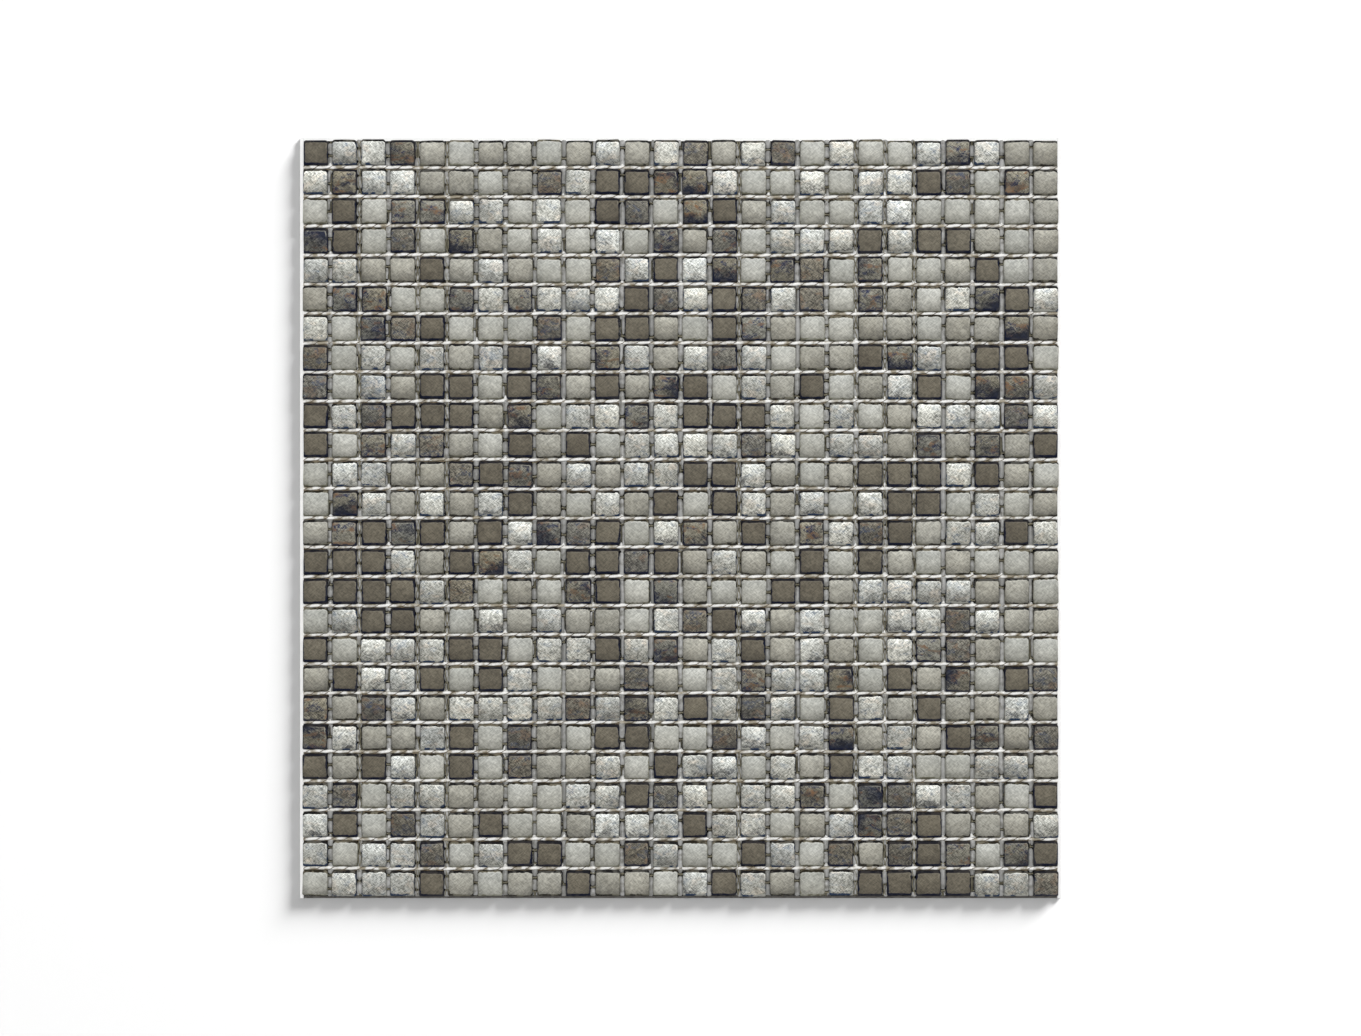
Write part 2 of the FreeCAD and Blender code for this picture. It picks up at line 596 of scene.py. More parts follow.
# The unglazed back, and the glaze down the sides
BISQUE = (0.55, 0.5, 0.42)
BISQUE_ROUGHNESS = 0.85
SIDE_ROUGHNESS = 0.4
SIDE_SPECULAR = 0.06


class Side(Enum):
    """Thin and thick glaze down the side of a tile, then the same at its head, far darker there as painted
    shadow under the cord.
    """

    OLIVE = ((0.53, 0.53, 0.44), (0.27, 0.262, 0.19), (0.175, 0.158, 0.115), (0.024, 0.02, 0.013))
    BRONZE = ((0.3, 0.288, 0.225), (0.06, 0.056, 0.046), (0.088, 0.085, 0.076), (0.011, 0.0105, 0.011))
    PEWTER = ((0.43, 0.43, 0.385), (0.035, 0.055, 0.1), (0.115, 0.108, 0.09), (0.013, 0.012, 0.012))
    INK = ((0.038, 0.038, 0.045), (0.009, 0.012, 0.028), (0.034, 0.031, 0.031), (0.011, 0.011, 0.015))


@dataclass(frozen=True)
class Glaze:
    """A satin or matte glaze: one colour, mottled towards a second, with a fine grain."""

    node: str
    slot: str
    side: Side
    face: Colour
    mottled: Colour
    roughness: float = 0.42
    specular: float = 0.5
    relief: float = 0.2
    grain: float = 0.3
    edge: float = 0.2
    # How much further in the dark side glaze reaches at the foot, as painted shade, and at the head, as
    # painted shadow under the cord
    foot_edge: float = 0.45
    head_edge: float = 0.8
    run: float = 0.3
    # How the side glaze darkens or lightens at the foot: painted shade
    foot_shade: float = 0.55
    # Weights of the painted light and shade of the face: fall towards the foot, extra fall at the foot, the
    # darker foot facet, the darker flanks, the random lean per tile and the painted cool reflection towards
    # the head; hue is a random tint from tile to tile
    fall: float = 0.12
    foot_fall: float = 0.2
    facet: float = 0.0
    crown: float = 0.13
    lean: float = 0.07
    cool: float = 0.0
    hue: float = 0.02
    flecks_per_mm: float = 0.6

    def colour(self, wires: Wiring, groups: dict[str, Any], tile: dict[str, Value]) -> Value:
        """Colour of the glazed face."""
        cloud = wires.group(groups["cloud"], {"Scale": 0.16, "Draw": tile["Draw"]})["Value"]
        return (cloud * 0.5 + tile["Tone"] * 0.52 - 0.01).blend(self.face, self.mottled)

    def metal(self, side: Value) -> dict[str, Value]:
        """Shader input that makes the face metallic: none for a plain glaze."""
        return {}

    def material(self, groups: dict[str, NodeTree]) -> Material:
        """Build the glaze's material.

        Args:
            groups: The shared shader groups by name.

        Returns:
            The material.
        """
        made, wires, shader = new_material(self.slot)
        tile = wires.group(groups["tile"], fields(self, GRADES))
        side, bare, up, patch = (tile[name] for name in ("Side", "Bare", "Up", "Patch"))
        scale = {"Scale": self.flecks_per_mm, "Draw": tile["Draw"]}
        flecks = wires.group(groups["flecks"], scale)["Value"]
        # Fine grain times the painted light and shade of the tile map, then its painted cool reflection
        shade = flecks.spread(1 - self.grain, 1 + self.grain) * tile["Shade"]
        grained = wires.scaled(self.colour(wires, groups, tile), shade).vector("MULTIPLY", tile["Cast"])
        # Painted highlight along the top and right edges
        lit = (tile["Light Line"] * 0.8).blend(grained, self.painted_rim_highlight())
        thin, thick, head_thin, head_thick = self.side.value
        # Side glaze, darker or lighter at the foot as painted shade, and darkest at the head as painted
        # shadow under the cord
        foot_shade = up.ramp(-0.6, -0.8).spread(1.0, self.foot_shade)
        flanks = wires.scaled(patch.blend(thin, thick), foot_shade)
        glazed = up.ramp(0.6, 0.8).blend(flanks, patch.blend(head_thin, head_thick))
        rough = flecks.spread(self.roughness - 0.06, self.roughness + 0.06)
        wires.feed(shader, {
            "Base Color": bare.blend(side.blend(lit, glazed), BISQUE),
            "Roughness": bare.spread(side.spread(rough, SIDE_ROUGHNESS), BISQUE_ROUGHNESS),
            "Specular IOR Level": side.spread(self.specular, SIDE_SPECULAR),
            "Normal": wires.bump(flecks, self.relief),
            **self.metal(side),
        })
        return made

    def painted_rim_highlight(self) -> Colour:
        """Colour of the painted highlight: a thin bright line inside the top and right edges."""
        return tuple(min(1.3 * part + 0.02, 0.9) for part in self.face)


@dataclass(frozen=True)
class Lustre(Glaze):
    """A metallic glaze: bright flecks on a darker ground, with smoke towards the foot and tints.

    Its own values are those of the dark ones, which lighten towards the head and the foot. Their smoke
    gathers towards the foot, partly as smoke and partly as painted shade.
    """

    relief: float = 0.3
    grain: float = 0.16
    edge: float = 0.25
    foot_shade: float = 1.05
    fall: float = 0.42
    foot_fall: float = -0.45
    facet: float = 0.09
    hue: float = 0.25
    metallic: float = 0.6
    smoke: Colour = (0.1, 0.1, 0.1)
    smoke_start: float = 0.9
    smoke_width: float = 0.7
    # Smoke gathers towards the foot: partly smoke, partly painted shade
    foot_smoke_and_shade: float = 0.5
    cloud_share: float = 1.0
    drift: float = 0.0
    warm_tint: Colour = (0.62, 0.45, 0.3)
    cool_tint: Colour = (0.12, 0.2, 0.34)
    tint_share: float = 0.26
    tone_range: tuple[float, float] = (0.71, 1.21)

    def colour(self, wires: Wiring, groups: dict[str, Any], tile: dict[str, Value]) -> Value:
        """Colour of the lustre: ground and flecks, tints, then smoke.

        Args:
            wires: The material's wiring.
            groups: The shared shader groups by name.
            tile: Outputs of the tile map by name.

        Returns:
            The colour.
        """
        flecks = wires.group(groups["flecks"], {"Scale": 0.75, "Draw": tile["Draw"]})["Value"]
        toned = tile["Tone"].spread(*self.tone_range)
        ground = wires.scaled(flecks.blend(self.mottled, self.face), toned)
        warm_cloud, cool_cloud, dark_cloud = (
            wires.group(groups["cloud"], {"Scale": scale, "Kind": kind, "Draw": tile["Draw"]})["Value"]
            for kind, scale in ((3.0, 0.24), (11.0, 0.3), (23.0, 0.15))
        )
        bright = flecks * self.tint_share
        warm = warm_cloud.ramp(0.6, 0.9) * bright
        cool = cool_cloud.ramp(0.6, 0.9) * (self.tint_share - bright)
        tinted = cool.blend(warm.blend(ground, self.warm_tint), self.cool_tint)
        # Smoke, thicker towards the foot as painted shade, drifting along each tile's random lean
        smoky = dark_cloud * self.cloud_share - tile["Up"] * self.foot_smoke_and_shade
        smoky = smoky + tile["Tilt"] * self.drift + tile["Tone"] * 0.35 - flecks * 0.25
        smoke = wires.scaled(self.smoke, flecks.spread(0.5, 1.7))
        return smoky.ramp(self.smoke_start, self.smoke_start + self.smoke_width).blend(tinted, smoke)

    def metal(self, side: Value) -> dict[str, Value]:
        """Shader input that makes the face metallic and leaves the sides glassy."""
        return {"Metallic": (1.0 - side) * self.metallic}


GLAZES = (
    Glaze(
        "pale_grey_tiles", "pale_grey_glaze", Side.OLIVE, (0.475, 0.477, 0.437), (0.318, 0.32, 0.286),
        roughness=0.34, grain=0.27, edge=0.0, head_edge=0.7, run=0.2, fall=0.18, foot_fall=0.27,
        cool=0.048, hue=0.03,
    ),
    Glaze(
        "warm_grey_tiles", "warm_grey_glaze", Side.BRONZE, (0.378, 0.37, 0.322), (0.228, 0.219, 0.182),
        roughness=0.36, grain=0.33, edge=0.02, foot_edge=0.55, run=0.32, fall=0.39, foot_fall=0.16,
        lean=0.09, cool=0.03, hue=0.045,
    ),
    Glaze(
        "dark_taupe_tiles", "dark_taupe_glaze", Side.INK, (0.155, 0.139, 0.105), (0.085, 0.074, 0.055),
        roughness=0.55, specular=0.3, grain=0.34, edge=0.33, foot_edge=0.6, run=0.4, foot_shade=0.72,
        fall=0.09, foot_fall=0.22, lean=0.06,
    ),
    Lustre(
        "silver_tiles", "silver_lustre_glaze", Side.PEWTER, (0.625, 0.63, 0.586), (0.181, 0.186, 0.167),
        relief=0.4, grain=0.18, edge=0.02, foot_edge=0.7, foot_shade=0.8, fall=0.39, foot_fall=-0.16,
        facet=0.105, crown=0.05, lean=0.22, cool=0.048, hue=0.075, smoke=(0.12, 0.122, 0.12),
    ),
    Lustre(
        "smoked_tiles", "smoked_lustre_glaze", Side.INK, (0.245, 0.233, 0.187), (0.072, 0.067, 0.052),
        run=0.35, crown=-0.05, lean=0.12, smoke=(0.005, 0.007, 0.016), smoke_start=0.16,
        smoke_width=0.85, foot_smoke_and_shade=0.18, cloud_share=0.6, drift=0.42, warm_tint=(0.15, 0.085, 0.045),
        cool_tint=(0.018, 0.024, 0.055), tint_share=1.2, tone_range=(1.2, 0.78),
    ),
    Lustre(
        "speckled_tiles", "speckled_glaze", Side.INK, (0.2, 0.185, 0.146), (0.026, 0.023, 0.018),
        grain=0.42, run=0.25, crown=-0.02, lean=0.15, metallic=0.3, smoke=(0.03, 0.027, 0.024),
        smoke_start=0.85, foot_smoke_and_shade=0.3, drift=0.1, warm_tint=(0.14, 0.085, 0.05),
        cool_tint=(0.035, 0.05, 0.085), tint_share=0.8, tone_range=(1.24, 0.76),
    ),
)


# Net finishes


@dataclass(frozen=True)
class Coating:
    """A coated yarn or a dab of glue: a little dirty, with a soft gloss, greyer by its "shade"."""

    name: str
    clean: Colour
    stained: Colour
    grey: Colour
    roughness: float
    coat: float = 0.0
    stains_per_mm: float = 0.45
    fibres_per_mm: float = 4.0

    def material(self) -> Material:
        """Build the coating's material.

        Returns:
            The material.
        """
        made, wires, shader = new_material(self.name)
        place = wires.millimetres()
        stain = wires.noise(place, self.stains_per_mm, 4.0).ramp(0.42, 0.66)
        fibre = wires.noise(place, self.fibres_per_mm, 2.0)
        colour = wires.attribute("shade").blend(stain.blend(self.clean, self.stained), self.grey)
        wires.feed(shader, {
            "Base Color": wires.scaled(colour, fibre.spread(0.92, 1.06)),
            "Roughness": fibre.spread(self.roughness - 0.1, self.roughness + 0.1),
            "Coat Weight": self.coat,
            "Coat Roughness": 0.2,
            "Normal": wires.bump(fibre, 0.3),
        })
        return made


CORD_COATING = Coating(
    "coated_cord", (0.99, 0.985, 0.955), (0.34, 0.3, 0.22), (0.5, 0.5, 0.5), 0.35, 0.5, stains_per_mm=0.28,
)
# The tan strand along each cord's foot side: painted shadow under the cord
CORD_SHADOW_COATING = Coating("painted_cord_shadow", (0.45, 0.355, 0.24), (0.2, 0.15, 0.09), (0.3, 0.3, 0.3), 0.45, 0.1)
WRAP_COATING = Coating("coated_wrap", (0.2, 0.155, 0.1), (0.09, 0.068, 0.04), (0.3, 0.3, 0.3), 0.45, 0.1)
LACING_COATING = Coating("coated_lacing", (0.27, 0.25, 0.18), (0.14, 0.125, 0.085), (0.24, 0.24, 0.24), 0.5)
SIDE_COATING = Coating("coated_side", (0.98, 0.98, 0.97), (0.95, 0.95, 0.94), (0.9, 0.9, 0.9), 0.4, 0.2)
# A dark yarn along the foot edge: painted shadow below the last row
FOOT_SHADOW_COATING = Coating("painted_foot_shadow", (0.1, 0.095, 0.085), (0.06, 0.056, 0.05), (0.1, 0.1, 0.1), 0.5)
RIBBON_COATING = Coating("coated_ribbon", (0.16, 0.15, 0.11), (0.1, 0.09, 0.06), (0.3, 0.28, 0.22), 0.6)
WEB_COATING = Coating("glue_web", (0.93, 0.93, 0.91), (0.7, 0.69, 0.66), (0.3, 0.3, 0.29), 0.35, 0.3)
PAD_COATING = Coating("glue_pad", (0.43, 0.43, 0.42), (0.2, 0.195, 0.177), (0.2, 0.2, 0.19), 0.35, 0.3)


# The sheet's pieces


@dataclass(frozen=True)
class TileShape:
    """The pressed tile: a face of four shallow facets, soft edge, rounded corners and a bare back."""

    side: float
    thickness: float
    head_radius: float = 1.0 * MM
    foot_radius: float = 0.55 * MM
    least_radius: float = 0.15 * MM
    corner_points: int = 4
    facet_slope: float = 0.065

    def outline(self, inset: float, height: float) -> list[Point]:
        """Rounded square with a point at the middle of each side.

        Args:
            inset: How far it is drawn in all round.
            height: Its height.

        Returns:
            Its points, anticlockwise from above.
        """
        half = self.side / 2 - inset
        points = []
        for quarter, (right, up) in enumerate(((1, 1), (-1, 1), (-1, -1), (1, -1))):
            radius = self.head_radius if up > 0 else self.foot_radius
            radius = max(radius - 0.9 * inset, self.least_radius)
            for angle in np.linspace(0, math.pi / 2, self.corner_points) + quarter * math.pi / 2:
                x = right * (half - radius) + radius * math.cos(angle)
                points.append((x, up * (half - radius) + radius * math.sin(angle), height))
            points.append((half * (right - up) / 2, half * (right + up) / 2, height))
        return points

    def template(self) -> Object:
        """One tile round the origin, back down.

        Its "on_tile" attribute has the place across the face, from -1 to 1, and the distance in from
        the edge in millimetres, which counts below 0 down the side.

        Returns:
            The tile.
        """
        half = self.side / 2
        middle = half / MM
        # Inset of each ring, its drop below the face's middle and its distance in from the edge
        levels = [
            (0.12, -self.thickness / MM, -3.3),
            (0.0, 0.5 - self.thickness / MM, -2.8),
            (0.0, -0.85, 0.0),
            (0.28, -0.45, 0.3),
        ]
        levels += [(inset, -self.facet_slope * (middle - inset), inset) for inset in (0.85, 1.6, 4.1)]
        rings = [self.outline(inset * MM, self.thickness + drop * MM) for inset, drop, _ in levels]
        tile = ringed_mesh("tile_template", rings, (0.0, 0.0, self.thickness))
        runs = [run for (_, _, run), ring in zip(levels, rings) for _ in ring] + [middle]
        places = zip((vertex.co for vertex in tile.data.vertices), runs)
        write_attributes(tile, on_tile=[(place.x / half, place.y / half, run) for place, run in places])
        return tile


@dataclass
class TileField:
    """All the tiles of the sheet, where the solids have them."""

    glazes: tuple[Glaze, ...]
    ripple: float = 0.5 * MM
    ripple_scale: float = 0.25
    least_size: tuple[float, float] = (0.945, 0.985)
    most_size: tuple[float, float] = (0.985, 1.015)
    # Spread and limit of each tile's random lean of its painted light and shade
    lean_spread: Point = (0.42, 1.0, 0.0)
    lean_limit: float = 1.5
    seed: int = 11

    def __post_init__(self) -> None:
        """Read every tile's place and turn from the solids."""
        self.laid = {glaze.node: self.read(glaze.node) for glaze in self.glazes}
        places = np.concatenate(list(self.laid.values()))
        self.across = round(math.sqrt(len(places)))
        self.columns = np.sort(places[:, 0]).reshape(self.across, -1).mean(1)
        self.rows = np.sort(places[:, 1]).reshape(self.across, -1).mean(1)
        self.pitch = float(np.diff(self.columns).mean())
        self.stray = np.zeros((self.across, self.across, 2))
        for x, y, _ in places:
            column = int(np.abs(self.columns - x).argmin())
            row = int(np.abs(self.rows - y).argmin())
            self.stray[row, column] = (x - self.columns[column], y - self.rows[row])

    @staticmethod
    def read(node: str) -> np.ndarray:
        """Place and turn of each tile of a node.

        The back of a tile is a square cut along one diagonal, whose middle is the tile's middle.

        Args:
            node: The node's name.

        Returns:
            One row of x, y and turn for each tile.
        """
        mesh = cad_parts[node].data
        mesh.calc_loop_triangles()
        points = np.array([vertex.co for vertex in mesh.vertices])
        triangles = points[np.array([triangle.vertices for triangle in mesh.loop_triangles])]
        back = triangles[(triangles[:, :, 2] < points[:, 2].min() + 0.01 * MM).all(1)]
        found = {}
        for corners in back[:, :, :2]:
            pairs = [(corners[index], corners[(index + 1) % 3]) for index in range(3)]
            start, end = max(pairs, key=lambda pair: np.linalg.norm(pair[1] - pair[0]))
            middle = (start + end) / 2
            diagonal = math.atan2(*(end - start)[::-1]) - math.pi / 4
            turn = (diagonal + math.pi / 4) % (math.pi / 2) - math.pi / 4
            found[tuple(np.round(middle / MM, 2))] = (*middle, turn)
        return np.array([found[key] for key in sorted(found)])

    def joints(self, places: np.ndarray) -> np.ndarray:
        """Middle lines of the joints beside these rows or columns, both edges too."""
        return places[0] - self.pitch / 2 + self.pitch * np.arange(self.across + 1)

    def drift(self, row: float, column: float) -> np.ndarray:
        """How far the tiles round a spot have strayed, on average.

        Args:
            row: Row of the spot, where 0.5 is the joint between rows 0 and 1 and -0.5 the edge.
            column: Column of the spot, in the same way.

        Returns:
            The mean stray in x and y.
        """
        last = self.across - 1
        near_rows, near_columns = (
            sorted({int(np.clip(each, 0, last)) for each in (math.floor(place), math.ceil(place))})
            for place in (row, column)
        )
        return np.mean([self.stray[r, c] for r in near_rows for c in near_columns], axis=0)

    def build(self, tree: NodeTree, groups: dict[str, NodeTree]) -> None:
        """Lay each finish of tile in place of its solids.

        Args:
            tree: The placing tree.
            groups: The shared shader groups by name.
        """
        low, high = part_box(self.glazes[0].node)
        template = TileShape(self.pitch * TILE_SHARE, high.z - low.z).template()
        draw = np.random.default_rng(self.seed)
        for number, glaze in enumerate(self.glazes):
            laid = self.laid[glaze.node]
            count = len(laid)
            piece = mesh_object(f"{glaze.node}_glazed", np.column_stack([laid[:, :2], np.full(count, low.z)]))
            sizes = np.ones((count, 3))
            sizes[:, :2] = draw.uniform(self.least_size, self.most_size, (count, 2))
            chances = {"draw": draw.random(count), "tone": draw.random(count)}
            lean = draw.normal(0.0, self.lean_spread, (count, 3))
            lean = np.clip(lean, -self.lean_limit, self.lean_limit)
            write_attributes(piece, turn=laid[:, 2], size=sizes, lean=lean, **chances)
            grow(piece, tree, {
                "Template": template,
                "Ripple": self.ripple,
                "Ripple Scale": self.ripple_scale,
                "Seed": float(number),
                "Material": glaze.material(groups),
            })
            attach(piece, glaze.node)
        bpy.data.objects.remove(template)


@dataclass(frozen=True)
class Strand:
    """A yarn or one of its plies, straight or wound round its line, with steps of its mesh to a tile."""

    name: str
    coating: Coating
    width: float
    level: float
    shift: float = 0.0
    sideways: float = 0.0
    upwards: float = 0.0
    turn_length: float = 5.5 * MM
    start: float = 0.0
    flatness: float = 1.0
    roll: float = 0.0
    swell: float = 0.0
    sides: int = 6
    steps: int = 8


WHITE_CORD = Strand(
    "white_cords", CORD_COATING, 1.45 * MM, 2.6 * MM, shift=0.08 * MM, sideways=0.15 * MM, upwards=0.15 * MM,
    flatness=0.7, swell=2.2,
)
# A tan strand below each cord on its foot side: painted shadow under the cord
CORD_SHADOW_PLY = Strand("tan_plies", CORD_SHADOW_COATING, 0.55 * MM, 2.0 * MM, shift=-0.62 * MM, swell=1.2, sides=5)
WRAP = Strand(
    "wraps", WRAP_COATING, 0.3 * MM, 2.55 * MM, shift=0.08 * MM, sideways=0.6 * MM, upwards=0.6 * MM,
    start=math.pi, sides=4,
)
LACING = tuple(
    Strand(
        f"lacing_{number}", LACING_COATING, 0.4 * MM, 2.4 * MM, sideways=0.62 * MM, upwards=0.1 * MM,
        turn_length=10.9 * MM, start=start, flatness=0.8, sides=4,
    )
    for number, start in enumerate((0.0, math.pi))
)
SELVEDGE = Strand(
    "selvedges", SIDE_COATING, math.sqrt(2) * 1.36 * MM, 0.82 * MM, flatness=1.12, roll=math.pi / 4,
    sides=4, steps=4,
)


class Filling(Enum):
    """How glue fills a joint between two columns: spacing of its pads, the gap between two, how much
    of their greyness they keep and how high they stand."""

    LONG = (10.6 * MM, 1.0 * MM, 1.0, 1.0)
    SHORT = (5.45 * MM, 1.05 * MM, 1.0, 1.0)
    LACED = (5.45 * MM, 0.65 * MM, 0.3, 0.9)


@dataclass
class Net:
    """The glass yarn net: cords in the joints and flat ribbons that weave below the tiles."""

    field: TileField
    tree: NodeTree
    fillings: list[Filling]
    cord_bow: float = 0.15 * MM
    end_gap: float = 1.5 * MM
    side_gap: float = 0.04 * MM
    selvedge_end_gap: float = 0.1 * MM
    ribbon_width: float = 0.96 * MM
    ribbon_thickness: float = 0.28 * MM
    weave: float = 0.13 * MM
    seed: int = 5

    def __post_init__(self) -> None:
        """Take the net's extent from its solids."""
        self.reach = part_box(WEFT_NODE)[1].x
        self.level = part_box(WARP_NODE)[1].z / 2
        self.draw = np.random.default_rng(self.seed)

    def spin(self, strand: Strand, paths: list[list[Point]], phases: list[float]) -> Object:
        """Make a strand along each path.

        Args:
            strand: What runs there.
            paths: The routes.
            phases: Where on its turn the strand starts on each of them.

        Returns:
            The strands as one plain mesh.
        """
        edges = []
        first = 0
        for path in paths:
            edges += [(first + index, first + index + 1) for index in range(len(path) - 1)]
            first += len(path)
        thing = mesh_object(strand.name, [point for path in paths for point in path], edges)
        starts = [phase + strand.start for path, phase in zip(paths, phases) for _ in path]
        write_attributes(thing, phase=starts)
        return grow(thing, self.tree, {
            "Step": self.field.pitch / strand.steps,
            "Sides": strand.sides,
            "Material": strand.coating.material(),
            **fields(strand, WINDINGS),
        })

    def strands(self, strand: Strand, along_x: bool, joints: list[int], phases: list[float]) -> Object:
        """A strand in each of these joints inside the sheet: it drifts with the tiles beside it.

        Args:
            strand: What runs there.
            along_x: True for joints between rows, False for those between columns.
            joints: Their numbers, counted from the sheet's edge, which is 0.
            phases: Where on its turn the strand starts in each of them.

        Returns:
            The strands as one plain mesh.
        """
        field = self.field
        across, along = (field.rows, field.columns) if along_x else (field.columns, field.rows)
        reach = self.reach - self.end_gap
        paths = []
        for joint in joints:
            here = field.joints(across)[joint] + strand.shift
            path = []
            for half in range(2 * field.across + 1):
                place = half / 2 - 0.5
                run = float(np.clip(along[0] + field.pitch * place, -reach, reach))
                if along_x:
                    bow = self.cord_bow if half % 2 else -self.cord_bow
                    path.append((run, here + field.drift(joint - 0.5, place)[1], strand.level + bow))
                else:
                    path.append((here + field.drift(place, joint - 0.5)[0], run, strand.level))
            paths.append(path)
        return self.spin(strand, paths, phases)

    def flat(self, strand: Strand, along_x: bool, places: list[float], reach: float) -> Object:
        """Straight yarns of one layer, each half a turn out of step with the place beside it.

        Args:
            strand: What runs there.
            along_x: True for the weft, which runs along X, and False for the warp.
            places: Where each yarn lies across its run.
            reach: How far it runs to each side of the sheet's middle.

        Returns:
            The yarns as one plain mesh.
        """
        field = self.field
        edge = field.joints(field.rows if along_x else field.columns)[0]
        paths = []
        phases = []
        for place in places:
            ends = ((-reach, place), (reach, place))
            paths.append([(*(end if along_x else end[::-1]), strand.level) for end in ends])
            step = round((place - edge) / (field.pitch / 2))
            phases.append(math.pi * (step + (0.5 if along_x else 1.5)))
        return self.spin(strand, paths, phases)

    def layer(self, along_x: bool) -> list[Object]:
        """The flat yarns of the weft or the warp: ribbons that weave, and thick white selvedges.

        Args:
            along_x: True for the weft, which also has the dark outer yarn at the foot, a painted shadow below
                the last row.

        Returns:
            The ribbons and the other yarns as plain meshes.
        """
        field = self.field
        centres = field.rows if along_x else field.columns
        joints = field.joints(centres)
        ribbon = Strand(
            "ribbons", RIBBON_COATING, self.ribbon_width, self.level, upwards=self.weave, steps=4,
            turn_length=field.pitch, flatness=self.ribbon_thickness / self.ribbon_width,
        )
        hidden = list(centres) + ([] if along_x else list(joints[1:-1]))
        yarns = [self.flat(ribbon, along_x, hidden, self.reach - ribbon.width)]
        width = SELVEDGE.width / math.sqrt(2)
        side = self.reach - self.side_gap - width / 2
        reach = self.reach - self.selvedge_end_gap - (width if along_x else 0.0)
        yarns.append(self.flat(SELVEDGE, along_x, [side] if along_x else [-side, side], reach))
        yarns[-1].data.shade_flat()
        if along_x:
            # Painted shadow below the last row
            end = replace(ribbon, coating=FOOT_SHADOW_COATING)
            yarns.append(self.flat(end, True, [joints[0]], self.reach - self.end_gap))
        return yarns

    def build(self) -> None:
        """Make the weft and the warp in place of their solids, and the wraps on the weft's cords."""
        inner = list(range(1, self.field.across))
        phases = list(self.draw.uniform(0, math.tau, len(inner)))
        laced = [joint for joint in inner if self.fillings[joint - 1] is Filling.LACED]
        weft = joined("woven_weft", [self.strands(WHITE_CORD, True, inner, phases)] + self.layer(True))
        lacing = [self.strands(strand, False, laced, phases) for strand in LACING]
        warp = joined("woven_warp", self.layer(False) + lacing)
        # The wraps, and the painted shadow strand along each cord's foot side
        thin = [self.strands(strand, True, inner, phases) for strand in (WRAP, CORD_SHADOW_PLY)]
        wraps = joined("cord_wraps", thin)
        for piece, node in ((weft, WEFT_NODE), (warp, WARP_NODE), (wraps, None)):
            attach(piece, node)


